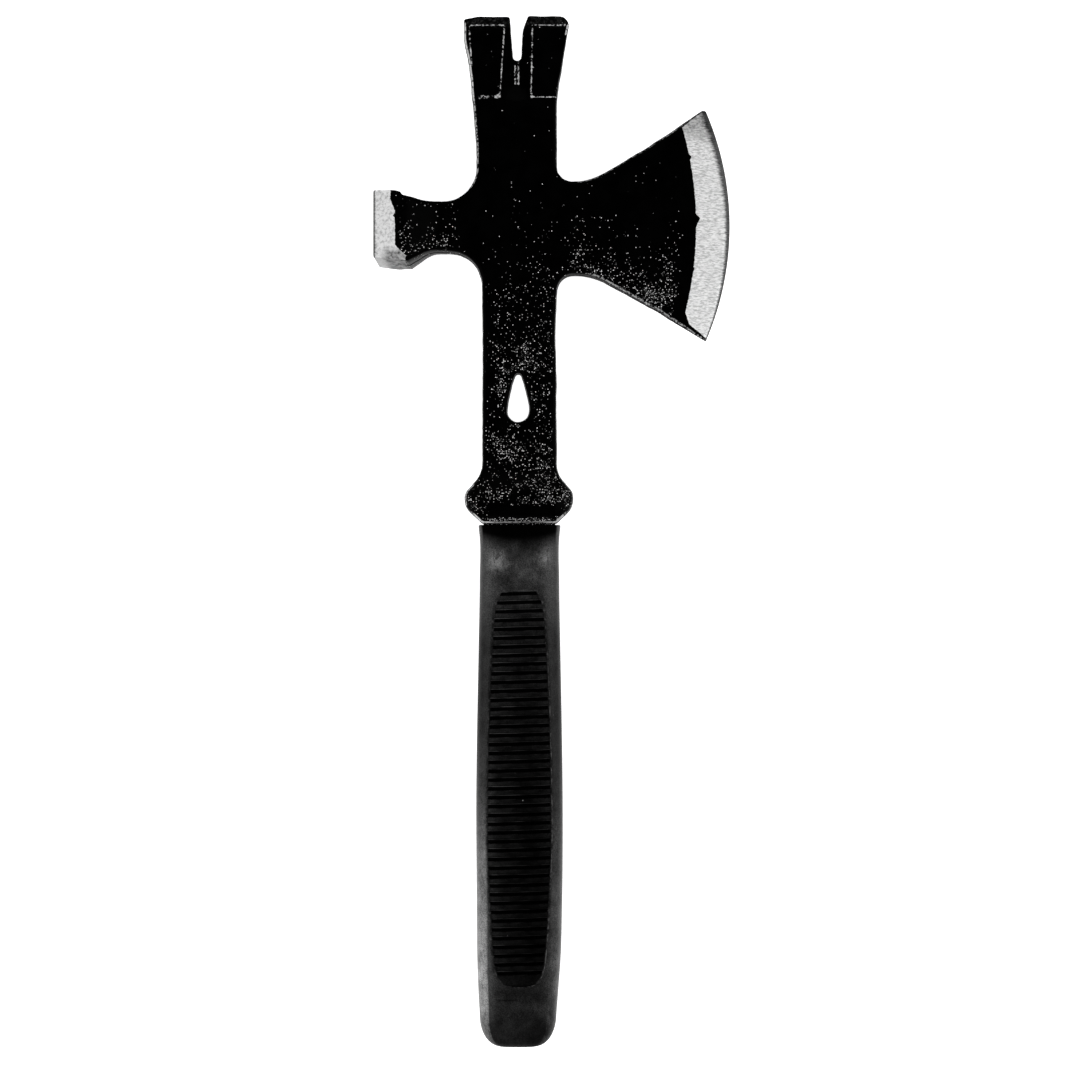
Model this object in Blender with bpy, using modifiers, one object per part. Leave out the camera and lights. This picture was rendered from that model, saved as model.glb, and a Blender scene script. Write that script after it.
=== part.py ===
"""One-piece forged steel hatchet with a hammer poll, a nail claw and a slip-on rubber grip.

It is modelled on its handle's axis: y runs from the butt of the grip to the tips of the claw, x towards the
cutting edge, and z out of the front face, with the forging's middle plane at z = 0. An empty then carries
everything to where the tool lies on its flank, with the origin under the middle of its box.
All the numbers below are millimetres; MM turns them into Blender's metres.
"""

import math

import bmesh
import bpy
from mathutils import Matrix, Vector

MM = 0.001

# Driving dimensions
LENGTH = 355.6          # butt of the grip to the tips of the claw, 14 in
EDGE_REACH = 72.7       # handle axis to the middle of the cutting edge
POLL_REACH = 49.6       # handle axis to the striking face
EDGE_Y = 282.75         # height of the cutting edge's middle above the butt
EDGE_RADIUS = 100.0
EDGE_HALF_ANGLE = math.radians(23.5)
EDGE_HALF_LAND = 0.15   # half the flat left on the cutting edge
SHOULDER_RADIUS = 122.0  # the line where the cheek turns into the ground bevel
SHOULDER_HALF_ANGLE = math.radians(15.7)
BEVEL_WIDTH = 11.8      # at the middle of the edge
POLL_HALF = 12.0        # half thickness of the hammer head, the widest part of the tool
HUB_HALF = 5.4          # half thickness where blade, poll, claw and shank meet
HUB_REACH = 20.0        # the hub's thickness holds this far each side of the axis
SHANK_HALF = 4.8
CLAW_FOOT_Y = 327.0     # where the claw's faces start to taper
CLAW_TIP_Y = 351.9      # where they meet the short bevel on its tips
BOLSTER_Y = 180.4       # underside of the bolster, where the tang starts
TANG_END_Y = 16.0
GRIP_TOP_Y = 179.5
RIM_CHAMFER = 0.5       # chamfer round the forging's outline

# Grip panel
PANEL_LOW_Y, PANEL_HIGH_Y = 21.7, 156.1
GROOVE_PITCH = 3.0
GROOVE_WIDTH = 0.95
GROOVE_DEPTH = 0.8

# The tang's half width and half thickness, at its end and at its root
TANG_END, TANG_ROOT = (7.6, 3.6), (8.6, 4.2)
TANG_CORNER = 2.5

# Fits between the tang, the adhesive on it and the sleeve
FIT_GAP = 0.12
ADHESIVE = 0.4

ARC_STEP = math.radians(14)  # longest step along a rounded corner
EDGE_STEPS = 24         # steps along the cutting edge
SLAB_HALF = 5.0         # half thickness of a slab before it takes its profile

# The forging's outline, anticlockwise from the slot of the claw: x, y and the corner's radius.
# The cutting edge's arc goes between the two lists.
CLAW_POLL_AND_SHANK = [
    (-2.7, 355.3, 0.9), (-14.3, 355.5, 6), (-19.4, 354.5, 0.9), (-19.4, 347, 15), (-17.3, 336.7, 60),
    (-15.0, 309, 60), (-15.0, 290.9, 11.7), (-33.0, 290.9, 14), (-39.6, 292.2, 0.5), (-40.2, 293.2, 0.5),
    (-POLL_REACH, 293.2, 0.6), (-POLL_REACH, 270.3, 0.6), (-37.8, 268.9, 0.8), (-30.7, 273.4, 10),
    (-13.1, 273.4, 11.7), (-12.9, 240, 80), (-13.1, 197.2, 8.5), (-19.0, 190.7, 3.5), (-19.0, 185.7, 4),
    (-12.8, BOLSTER_Y, 2),
]
BOLSTER_AND_BLADE_FOOT = [
    (13.2, BOLSTER_Y, 2), (18.6, 185.8, 4), (18.6, 190.8, 3.5), (13.0, 197.3, 8.5), (12.9, 232, 60),
    (12.5, 247, 60), (13.4, 265.5, 5.5), (24.8, 265.5, 20), (45.4, 254.3, 120),
]
BLADE_TOP_AND_CLAW = [
    (63.2, 322.8, 0.5), (45.0, 310.6, 120), (24.0, 298.0, 19), (13.1, 298.0, 5.2), (13.1, 327, 18),
    (17.8, LENGTH, 3.4), (1.8, LENGTH, 1.5), (0.35, 340.2, 1.15), (-2.1, 340.2, 1.15),
]

# Half thickness of the forging: up the handle as (y, half, radius), then out along the blade and the poll
# as (x, half, radius).
SPINE_PROFILE = [
    (BOLSTER_Y - 1, 9.6, 0), (184, 10.6, 5), (190.5, 10.6, 8),
    (201, SHANK_HALF, 14), (240, SHANK_HALF, 60), (268, HUB_HALF, 60), (303, HUB_HALF, 60),
    (CLAW_FOOT_Y, 5.0, 0), (CLAW_TIP_Y, 1.7, 0), (LENGTH + 0.1, 0.6, 0),
]
BLADE_PROFILE = [(HUB_REACH, HUB_HALF, 0), (31, 4.7, 40), (61, 2.3, 0), (75, 1.3, 0)]
POLL_PROFILE = [(HUB_REACH, HUB_HALF, 0), (27, 5.8, 10), (39, POLL_HALF, 3), (POLL_REACH + 0.1, POLL_HALF, 0)]

# The grip: half width, half thickness and the middle's x at a few heights, and the panel's half width.
GRIP_STATIONS = [
    (0.0, 13.1, 9.0, -0.5), (9.0, 13.2, 9.3, -0.5), (19.0, 13.8, 9.8, -0.4), (30.0, 14.4, 10.3, -0.2),
    (50.0, 14.75, 10.8, 0.0), (84.0, 14.95, 11.2, 0.0), (112.0, 14.6, 10.9, 0.0), (133.0, 14.2, 10.3, 0.0),
    (160.0, 13.75, 9.2, 0.0), (175.0, 13.75, 8.6, 0.0), (GRIP_TOP_Y, 14.2, 8.8, 0.0),
]
PANEL_STATIONS = [
    (PANEL_LOW_Y, 3.0), (24.0, 6.4), (28.0, 8.5), (33.0, 9.2), (50.0, 10.3), (67.0, 11.1), (98.0, 11.0),
    (119.0, 10.4), (140.0, 9.4), (151.0, 8.2), (154.5, 6.2), (PANEL_HIGH_Y, 4.0),
]
BUTT_ROUND = 5.5        # how far up the grip its rounded end reaches
SECTION_POINTS = 40
SECTION_POWER = 3.6     # 2 is an ellipse, and more is squarer


def turned_corner(before, corner, after, radius):
    """The arc that rounds a corner of a polyline, as points."""
    a = (before - corner).normalized()
    b = (after - corner).normalized()
    half = a.angle(b) / 2
    turn = math.pi - 2 * half
    if radius <= 0 or turn < 1e-4:
        return [corner]
    reach = radius / math.tan(half)
    centre = corner + (a + b).normalized() * radius / math.sin(half)
    start = corner + a * reach - centre
    sweep = math.copysign(turn, start.x * (corner - centre).y - start.y * (corner - centre).x)
    steps = max(2, math.ceil(turn / ARC_STEP))
    return [centre + Matrix.Rotation(sweep * i / steps, 2) @ start for i in range(steps + 1)]


def rounded(corners, closed=True):
    """A polyline's points with each corner (x, y, radius) rounded."""
    places = [Vector(corner[:2]) for corner in corners]
    points = []
    for i, place in enumerate(places):
        if not closed and i in (0, len(places) - 1):
            points.append(place)
            continue
        after = places[(i + 1) % len(places)]
        points += turned_corner(places[i - 1], place, after, corners[i][2])
    return points


def on_arc(centre_x, centre_y, radius, angle):
    return Vector((centre_x + radius * math.cos(angle), centre_y + radius * math.sin(angle)))


def on_cutting_edge(share):
    """A point of the cutting edge, from its lower tip at -1 to its upper tip at 1."""
    return on_arc(EDGE_REACH - EDGE_RADIUS, EDGE_Y, EDGE_RADIUS, share * EDGE_HALF_ANGLE)


def on_shoulder(share):
    """The matching point of the line where the ground bevel starts."""
    middle = EDGE_REACH - BEVEL_WIDTH
    return on_arc(middle - SHOULDER_RADIUS, EDGE_Y, SHOULDER_RADIUS, share * SHOULDER_HALF_ANGLE)


def along(profile, place):
    """The value of a piecewise straight profile at a place."""
    for (x0, y0), (x1, y1) in zip(profile, profile[1:]):
        if place <= x1:
            return y0 + (y1 - y0) * max(0.0, place - x0) / max(x1 - x0, 1e-9)
    return profile[-1][1]


def smooth_along(stations, place):
    """Columns of a table of stations at a place, by a Catmull-Rom curve through them."""
    last = len(stations) - 2
    i = next((k for k in range(last) if place < stations[k + 1][0]), last)
    p1, p2 = stations[i], stations[i + 1]
    p0, p3 = stations[max(i - 1, 0)], stations[min(i + 2, last + 1)]
    span = p2[0] - p1[0]
    t = min(max((place - p1[0]) / span, 0), 1)
    values = []
    for column in range(1, len(p1)):
        rise0 = (p2[column] - p0[column]) / (p2[0] - p0[0]) * span
        rise1 = (p3[column] - p1[column]) / (p3[0] - p1[0]) * span
        values.append(
            (2 * t**3 - 3 * t**2 + 1) * p1[column] + (t**3 - 2 * t**2 + t) * rise0
            + (3 * t**2 - 2 * t**3) * p2[column] + (t**3 - t**2) * rise1
        )
    return values


SPINE = rounded(SPINE_PROFILE, closed=False)
BLADE = rounded(BLADE_PROFILE, closed=False)
POLL = rounded(POLL_PROFILE, closed=False)


def half_thickness(x, y):
    """Half the forging's thickness at a point of its outline's plane."""
    if x > HUB_REACH:
        return along(BLADE, x)
    if x < -HUB_REACH:
        return along(POLL, -x)
    return along(SPINE, y)


def collection_named(name):
    made = bpy.data.collections.new(name)
    bpy.context.scene.collection.children.link(made)
    return made


def add_object(name, mesh, collection):
    made = bpy.data.objects.new(name, mesh)
    collection.objects.link(made)
    made.parent = collection["carrier"]
    return made


def mesh_from(bm, name):
    """The bmesh as a mesh in metres."""
    bmesh.ops.recalc_face_normals(bm, faces=bm.faces)
    bmesh.ops.scale(bm, vec=(MM, MM, MM), verts=bm.verts)
    mesh = bpy.data.meshes.new(name)
    bm.to_mesh(mesh)
    bm.free()
    return mesh


def filled_slab(outlines, chamfer=0.0):
    """A bmesh of flat outlines in the XY plane, some of them holes, made a slab that is 2 * SLAB_HALF thick."""
    curve = bpy.data.curves.new("outline", "CURVE")
    curve.dimensions = "2D"
    curve.fill_mode = "BOTH"
    curve.extrude = SLAB_HALF - chamfer
    curve.bevel_depth = chamfer
    curve.bevel_resolution = 0
    curve.offset = -chamfer
    for points in outlines:
        spline = curve.splines.new("POLY")
        spline.points.add(len(points) - 1)
        for spot, point in zip(spline.points, points):
            spot.co = (point.x, point.y, 0, 1)
        spline.use_cyclic_u = True
    guide = bpy.data.objects.new("outline", curve)
    bpy.context.scene.collection.objects.link(guide)
    graph = bpy.context.evaluated_depsgraph_get()
    mesh = bpy.data.meshes.new_from_object(guide.evaluated_get(graph))
    bm = bmesh.new()
    bm.from_mesh(mesh)
    bmesh.ops.remove_doubles(bm, verts=bm.verts, dist=0.001)
    bpy.data.objects.remove(guide)
    bpy.data.curves.remove(curve)
    bpy.data.meshes.remove(mesh)
    return bm


def slice_across(bm, places, axis):
    """Cuts the bmesh's faces along planes across one axis, so that its vertices can follow a profile there."""
    normal = Vector((axis == 0, axis == 1, 0))
    for place in places:
        everything = bm.verts[:] + bm.edges[:] + bm.faces[:]
        bmesh.ops.bisect_plane(bm, geom=everything, dist=0.0005, plane_co=normal * place, plane_no=normal)


def set_thickness(bm, half_at):
    """Moves each vertex of a slab in or out, to bring the slab's faces to half_at's half thickness there."""
    for vert in bm.verts:
        half = half_at(vert.co.x, vert.co.y) + abs(vert.co.z) - SLAB_HALF
        vert.co.z = math.copysign(half, vert.co.z)


def loft(rings):
    """A closed bmesh through rings of points, each ring with as many points as the others."""
    bm = bmesh.new()
    rows = [[bm.verts.new(point) for point in ring] for ring in rings]
    count = len(rows[0])
    for low, high in zip(rows, rows[1:]):
        for i in range(count):
            j = (i + 1) % count
            bm.faces.new((low[i], low[j], high[j], high[i]))
    bm.faces.new(rows[0])
    bm.faces.new(rows[-1])
    return bm


def teardrop():
    """The nail hole's outline: an arc round the foot and two bowed sides that meet in a small round tip."""
    foot_y, foot_radius, tip_y, tip_radius, middle_x = 218.8, 3.5, 230.4, 1.1, -0.4
    points = []
    steps = 12
    for i in range(steps + 1):
        points.append(on_arc(middle_x, foot_y, foot_radius, math.pi + math.pi * i / steps))
    side_steps = 5
    for i in range(1, side_steps):
        share = i / side_steps
        half = foot_radius + (tip_radius - foot_radius) * share**1.5
        points.append(Vector((middle_x + half, foot_y + (tip_y - foot_y) * share)))
    tip_steps = 6
    for i in range(tip_steps + 1):
        points.append(on_arc(middle_x, tip_y, tip_radius, math.pi * i / tip_steps))
    for i in range(side_steps - 1, 0, -1):
        share = i / side_steps
        half = foot_radius + (tip_radius - foot_radius) * share**1.5
        points.append(Vector((middle_x - half, foot_y + (tip_y - foot_y) * share)))
    return points


def forging_outline():
    arc = [on_cutting_edge(-1 + 2 * i / EDGE_STEPS) for i in range(EDGE_STEPS + 1)]
    corners = CLAW_POLL_AND_SHANK + BOLSTER_AND_BLADE_FOOT
    corners += [(point.x, point.y, 0) for point in arc]
    return rounded(corners + BLADE_TOP_AND_CLAW)


def forging_mesh():
    """The forging before grinding: its outline as a slab, moved to the thickness that its profiles give."""
    bm = filled_slab([forging_outline(), teardrop()], RIM_CHAMFER)
    slice_across(bm, [point.x for point in BLADE[:-1]], 0)
    slice_across(bm, [-point.x for point in POLL[:-1]], 0)
    slice_across(bm, [point.x for point in SPINE[1:-1]], 1)
    set_thickness(bm, half_thickness)
    return mesh_from(bm, "forged_body")


def bevel_cutter_mesh():
    """What a grinding belt takes off the front of the blade, from the shoulder line out past the edge."""
    top = 20.0
    rings = []
    past = EDGE_STEPS // 8
    for i in range(-past, EDGE_STEPS + past + 1):
        share = -1 + 2 * i / EDGE_STEPS
        edge, shoulder = on_cutting_edge(share), on_shoulder(share)
        shoulder_half = along(BLADE, shoulder.x)
        back = shoulder - (edge - shoulder) * 0.3
        back_half = shoulder_half + (shoulder_half - EDGE_HALF_LAND) * 0.3
        out = edge + (edge - shoulder).normalized() * 4
        rings.append([
            (back.x, back.y, back_half), (edge.x, edge.y, EDGE_HALF_LAND), (out.x, out.y, EDGE_HALF_LAND),
            (out.x, out.y, top), (back.x, back.y, top),
        ])
    return mesh_from(loft(rings), "bevel_cutter")


def claw_groove_mesh():
    """The V along the claw's slot, whose flanks grip a nail's head. It stops short of the middle plane."""
    middle_x, half_width, depth, over, thinnest = -0.9, 5.0, 1.9, 0.6, 0.3
    flare = half_width * (1 + over / depth)
    rings = []
    for y, share in ((CLAW_FOOT_Y - 0.5, 0.0), (CLAW_FOOT_Y + 2.5, 1.0), (CLAW_TIP_Y, 1.0), (LENGTH + 3, 1.0)):
        surface = along(SPINE, min(y, CLAW_TIP_Y))
        valley = max(surface - depth * share + (over - 0.01) * (1 - share), thinnest)
        rings.append([
            (middle_x - flare, y, surface + over), (middle_x + flare, y, surface + over), (middle_x, y, valley),
        ])
    return mesh_from(loft(rings), "claw_groove")


def section(half_width, half_thick, middle_x, y):
    """A ring of a grip's section: a squarish oval across the handle."""
    ring = []
    for i in range(SECTION_POINTS):
        angle = 2 * math.pi * (i + 0.5) / SECTION_POINTS
        c, s = math.cos(angle), math.sin(angle)
        x = math.copysign(abs(c) ** (2 / SECTION_POWER), c) * half_width
        z = math.copysign(abs(s) ** (2 / SECTION_POWER), s) * half_thick
        ring.append((middle_x + x, y, z))
    return ring


def grip_section(y, shrink=0.0):
    half_width, half_thick, middle_x = smooth_along(GRIP_STATIONS, y)
    return section(half_width - shrink, half_thick - shrink, middle_x, y)


def sleeve_mesh():
    """The outside of the rubber sleeve, with its rounded butt."""
    rings = []
    butt_steps = 6
    for i in range(butt_steps):
        angle = math.pi / 2 * (i + 0.35) / butt_steps
        y = BUTT_ROUND * (1 - math.sin(angle))
        rings.insert(0, grip_section(y, BUTT_ROUND * (1 - math.cos(angle)) * 0.9))
    y, step = BUTT_ROUND + 1.5, 7.0
    while y < GRIP_TOP_Y - 5:
        rings.append(grip_section(y))
        y += step
    rings += [grip_section(y) for y in (GRIP_TOP_Y - 4.5, GRIP_TOP_Y - 2, GRIP_TOP_Y)]
    flat = rings[0][0][1]
    rings = [[(x, y - flat * (y < BUTT_ROUND), z) for x, y, z in ring] for ring in rings]
    return mesh_from(loft(rings), "rubber_grip")


def groove_cutter_mesh():
    """All the grooves of both panels, as one mesh of separate boxes with their ends drawn in."""
    bm = bmesh.new()
    count = int((PANEL_HIGH_Y - PANEL_LOW_Y) / GROOVE_PITCH)
    first = (PANEL_LOW_Y + PANEL_HIGH_Y - (count - 1) * GROOVE_PITCH) / 2
    for i in range(count):
        y = first + i * GROOVE_PITCH
        half_length = smooth_along(PANEL_STATIONS, y)[0] - 0.6
        floor = smooth_along(GRIP_STATIONS, y)[1] - GROOVE_DEPTH
        for side in (1, -1):
            matrix = Matrix.Translation((0, y, side * (floor + 3)))
            matrix = matrix @ Matrix.Diagonal((2 * half_length, GROOVE_WIDTH, 6, 1))
            bmesh.ops.create_cube(bm, size=1, matrix=matrix)
    return mesh_from(bm, "grooves")


def tang_mesh(grow, top_y, name):
    """The tang grown by a clearance: at none, the tang itself, and otherwise what surrounds it."""
    low_y = TANG_END_Y - grow
    ends = [(low_y, TANG_END[1] + grow), (BOLSTER_Y, TANG_ROOT[1] + grow)]
    low, high = TANG_END[0] + grow, TANG_ROOT[0] + grow
    corner = TANG_CORNER + grow
    outline = rounded([(-high, top_y, 0), (-low, low_y, corner), (low, low_y, corner), (high, top_y, 0)])
    bm = filled_slab([outline])
    set_thickness(bm, lambda x, y: along(ends, y))
    return mesh_from(bm, name)


def combine(target, cutter, operation="DIFFERENCE"):
    """Takes the cutter from the target, or joins it on, with an exact Boolean."""
    modifier = target.modifiers.new(cutter.name, "BOOLEAN")
    modifier.operation = operation
    modifier.solver = "EXACT"
    modifier.object = cutter


def add_cutter(name, mesh, collection, mirrored=False):
    made = add_object(name, mesh, collection)
    made.hide_render = True
    made.display_type = "WIRE"
    if mirrored:
        mirror = made.modifiers.new("other_face", "MIRROR")
        mirror.use_axis = (False, False, True)
        mirror.use_mirror_merge = False
    return made


def finish(name, colour, roughness, metallic):
    """A material of one finish."""
    material = bpy.data.materials.new(name)
    material.use_nodes = True
    shader = material.node_tree.nodes["Principled BSDF"]
    shader.inputs["Base Color"].default_value = (*colour, 1)
    shader.inputs["Roughness"].default_value = roughness
    shader.inputs["Metallic"].default_value = metallic
    return material


def add_forged_body(parts, cutters):
    """Head, shank, bolster and tang: one drop forging, ground on the blade and grooved on the claw."""
    body = add_object("forged_body", forging_mesh(), parts)
    body.data.materials.append(finish("black_paint", (0.012, 0.012, 0.013), 0.38, 0.0))
    combine(body, add_cutter("bevel_cutter", bevel_cutter_mesh(), cutters, mirrored=True))
    combine(body, add_cutter("claw_groove_cutter", claw_groove_mesh(), cutters, mirrored=True))
    combine(body, add_cutter("tang", tang_mesh(0, BOLSTER_Y + 3, "tang"), cutters), "UNION")
    return body


def add_rubber_grip(parts, cutters):
    """The moulded sleeve that slips over the tang, closed at the butt."""
    sleeve = add_object("rubber_grip", sleeve_mesh(), parts)
    sleeve.data.materials.append(finish("rubber", (0.03, 0.03, 0.031), 0.6, 0.0))
    hole = tang_mesh(2 * FIT_GAP + ADHESIVE, GRIP_TOP_Y + 3, "tang_hole")
    combine(sleeve, add_cutter("tang_hole_cutter", hole, cutters))
    combine(sleeve, add_cutter("groove_cutter", groove_cutter_mesh(), cutters))
    return sleeve


def add_adhesive(parts, cutters):
    """The cup of adhesive between the tang and the sleeve."""
    film = add_object("grip_adhesive", tang_mesh(FIT_GAP + ADHESIVE, GRIP_TOP_Y - 1, "grip_adhesive"), parts)
    film.data.materials.append(finish("adhesive", (0.35, 0.27, 0.12), 0.5, 0.0))
    hole = tang_mesh(FIT_GAP, GRIP_TOP_Y + 3, "adhesive_hole")
    combine(film, add_cutter("adhesive_hole_cutter", hole, cutters))
    return film


def main():
    for old in list(bpy.data.objects):
        bpy.data.objects.remove(old)
    parts, cutters = collection_named("hatchet"), collection_named("cutters")
    carrier = bpy.data.objects.new("resting_place", None)
    parts.objects.link(carrier)
    carrier.location = Vector(((POLL_REACH - EDGE_REACH) / 2, -LENGTH / 2, POLL_HALF)) * MM
    parts["carrier"] = cutters["carrier"] = carrier
    for piece in (add_forged_body(parts, cutters), add_rubber_grip(parts, cutters), add_adhesive(parts, cutters)):
        piece.data.shade_smooth()
        piece.data.set_sharp_from_angle(angle=math.radians(30))


main()
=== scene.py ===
import math

import bpy
import numpy as np
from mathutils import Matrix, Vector, noise
from mathutils.geometry import delaunay_2d_cdt


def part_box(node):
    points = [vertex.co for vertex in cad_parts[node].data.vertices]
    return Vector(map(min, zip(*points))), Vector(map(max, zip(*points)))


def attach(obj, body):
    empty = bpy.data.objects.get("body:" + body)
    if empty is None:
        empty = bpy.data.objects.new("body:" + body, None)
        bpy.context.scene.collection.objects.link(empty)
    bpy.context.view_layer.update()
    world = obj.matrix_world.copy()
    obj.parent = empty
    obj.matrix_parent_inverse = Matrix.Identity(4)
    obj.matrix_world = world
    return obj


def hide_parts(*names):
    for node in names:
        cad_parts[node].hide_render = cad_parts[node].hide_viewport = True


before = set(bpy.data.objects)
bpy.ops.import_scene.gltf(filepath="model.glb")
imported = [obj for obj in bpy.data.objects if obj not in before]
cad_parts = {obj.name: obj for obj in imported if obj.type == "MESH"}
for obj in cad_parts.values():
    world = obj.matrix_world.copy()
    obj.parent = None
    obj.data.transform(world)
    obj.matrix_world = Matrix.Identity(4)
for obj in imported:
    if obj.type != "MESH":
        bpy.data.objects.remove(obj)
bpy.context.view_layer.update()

# Lengths below are millimetres in the hatchet's own axes: y up from the butt of the grip, x from the
# handle's axis towards the cutting edge, z out of the front from the forging's middle plane. ORIGIN carries
# them to the frame, which has the same axes.
MM = 0.001
LENGTH = 355.6
EDGE_REACH = 72.7
head_low, head_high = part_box("forged_body")
grip_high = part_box("rubber_grip")[1]
ORIGIN = Vector((
    head_high.x / MM - EDGE_REACH,
    head_high.y / MM - LENGTH,
    (head_low.z + head_high.z) / 2 / MM,
))
POLL_REACH = -(head_low.x / MM - ORIGIN.x)
POLL_HALF = (head_high.z - head_low.z) / 2 / MM
GRIP_TOP_Y = grip_high.y / MM - ORIGIN.y


# --- Small helpers -----------------------------------------------------------------------------------------

def smooth_step(low, high, value):
    t = np.clip((value - low) / (high - low), 0, 1)
    return t * t * (3 - 2 * t)


def curve_through(stations, places):
    """Columns of a table of stations at many places, by Catmull-Rom curves through them."""
    table = np.array(stations, dtype=float)
    x, rows = table[:, 0], table[:, 1:]
    slopes = np.gradient(rows, x, axis=0)
    places = np.clip(places, x[0], x[-1])
    i = np.clip(np.searchsorted(x, places, side="right") - 1, 0, len(x) - 2)
    span = (x[i + 1] - x[i])[:, None]
    t = ((places - x[i])[:, None]) / span
    return (
        (2 * t**3 - 3 * t**2 + 1) * rows[i] + (t**3 - 2 * t**2 + t) * slopes[i] * span
        + (3 * t**2 - 2 * t**3) * rows[i + 1] + (t**3 - t**2) * slopes[i + 1] * span
    )


def lumps(points, scale, seed):
    """Smooth noise of about -1 to 1 at points of any dimension, for uneven forged or moulded surfaces."""
    offset = Vector((seed * 17.3, seed * -9.1, seed * 5.7))
    values = [noise.noise(Vector((p[0], p[1], p[2] if len(p) > 2 else 0.0)) / scale + offset) for p in points]
    return np.array(values) * 1.6


def mesh_object(name, points, faces, material, smooth_angle=35):
    """An object from points in the hatchet's own millimetres."""
    mesh = bpy.data.meshes.new(name)
    placed = (np.asarray(points, dtype=float) + np.array(ORIGIN)) * MM
    mesh.from_pydata(placed.tolist(), [], faces)
    mesh.validate()
    mesh.materials.append(material)
    mesh.shade_smooth()
    mesh.set_sharp_from_angle(angle=math.radians(smooth_angle))
    made = bpy.data.objects.new(name, mesh)
    bpy.context.scene.collection.objects.link(made)
    return made


def add_attribute(piece, name, values):
    """A number at each vertex, for the material to read."""
    layer = piece.data.attributes.new(name, "FLOAT", "POINT")
    layer.data.foreach_set("value", np.asarray(values, dtype=np.float32))


# --- The forging's plan ------------------------------------------------------------------------------------

# Corners as x, y and radius, in two runs with the cutting edge's arc between them.
POLL_SIDE = [
    (-3.3, 355.3, 1.0), (-14.3, 355.5, 6), (-19.4, 354.5, 0.9), (-19.4, 347, 15), (-17.3, 336.7, 60),
    (-15.0, 309, 60), (-15.0, 290.9, 11.7), (-33.0, 290.9, 14), (-39.6, 292.2, 0.5), (-40.2, 293.2, 0.5),
    (-POLL_REACH, 293.2, 0.6), (-POLL_REACH, 270.3, 0.6), (-37.8, 268.9, 0.8), (-30.7, 273.4, 10),
    (-13.1, 273.4, 11.7), (-12.9, 240, 80), (-13.1, 197.2, 8.5), (-19.2, 190.4, 5), (-19.0, 185.4, 6),
    (-12.9, 179.6, 2.0), (12.9, 179.6, 2.0), (18.6, 185.4, 6), (18.8, 190.6, 5), (13.0, 197.3, 8.5),
    (12.9, 232, 60), (12.5, 247, 60), (13.4, 265.5, 5.5), (24.8, 265.5, 20), (45.4, 254.3, 120),
]
CLAW_SIDE = [
    (63.2, 322.8, 0.5), (45.0, 310.6, 120), (24.0, 298.0, 19), (13.1, 298.0, 5.2), (13.1, 327, 18),
    (17.8, LENGTH, 3.4), (2.9, LENGTH, 0.8), (0.95, 350.3, 7), (0.35, 340.2, 1.15), (-2.1, 340.2, 1.15),
]
EDGE_Y = 282.75
EDGE_RADIUS = 100.0
EDGE_HALF_ANGLE = math.radians(23.5)
EDGE_CENTRE = np.array((EDGE_REACH - EDGE_RADIUS, EDGE_Y))
BEVEL_WIDTH = 11.8
SHOULDER_RADIUS = 122.0
SHOULDER_CENTRE = np.array((EDGE_REACH - BEVEL_WIDTH - SHOULDER_RADIUS, EDGE_Y))
STEP = 0.5               # spacing of points along outlines and creases
GRID = 0.95              # spacing of points across the faces


def rounded(corners, arc_step=math.radians(7)):
    """A closed polygon's points with its corners (x, y, radius) rounded."""
    places = [Vector(corner[:2]) for corner in corners]
    points = []
    for i, corner in enumerate(places):
        a = (places[i - 1] - corner).normalized()
        b = (places[(i + 1) % len(places)] - corner).normalized()
        half = a.angle(b) / 2
        radius, turn = corners[i][2], math.pi - 2 * half
        if radius <= 0 or turn < 1e-4:
            points.append(corner)
            continue
        centre = corner + (a + b).normalized() * radius / math.sin(half)
        start = corner + a * radius / math.tan(half) - centre
        sweep = math.copysign(turn, start.cross(corner - centre))
        steps = max(2, math.ceil(turn / arc_step))
        for k in range(steps + 1):
            angle = sweep * k / steps
            c, s = math.cos(angle), math.sin(angle)
            points.append(centre + Vector((c * start.x - s * start.y, s * start.x + c * start.y)))
    return np.array([(p.x, p.y) for p in points])


def evenly_spaced(points, step, closed=True):
    """The polyline's points again at even steps along it."""
    run = np.vstack([points, points[:1]]) if closed else points
    lengths = np.concatenate([[0], np.cumsum(np.linalg.norm(np.diff(run, axis=0), axis=1))])
    count = max(2, round(lengths[-1] / step))
    at = np.linspace(0, lengths[-1], count + 1)
    if closed:
        at = at[:-1]
    return np.stack([np.interp(at, lengths, run[:, k]) for k in (0, 1)], axis=1)


def arc_points(centre, radius, half_angle, step):
    count = max(2, round(2 * half_angle * radius / step))
    angle = np.linspace(-half_angle, half_angle, count + 1)
    return centre + radius * np.stack([np.cos(angle), np.sin(angle)], axis=1)


def inward_normals(points):
    """Normals of an anticlockwise loop, towards its inside."""
    along = np.roll(points, -1, axis=0) - np.roll(points, 1, axis=0)
    along /= np.linalg.norm(along, axis=1)[:, None]
    return np.stack([-along[:, 1], along[:, 0]], axis=1)


def distance_to(points, loop, closed=True):
    """The distance of each point from a polyline."""
    start = loop if closed else loop[:-1]
    along = (np.roll(loop, -1, axis=0) if closed else loop[1:]) - start
    square = np.maximum((along**2).sum(1), 1e-12)
    best = np.empty(len(points))
    for low in range(0, len(points), 2000):
        part = points[low:low + 2000, None, :] - start[None]
        t = np.clip((part * along).sum(2) / square, 0, 1)
        gap = part - t[..., None] * along
        best[low:low + 2000] = np.sqrt((gap**2).sum(2).min(1))
    return best


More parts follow.
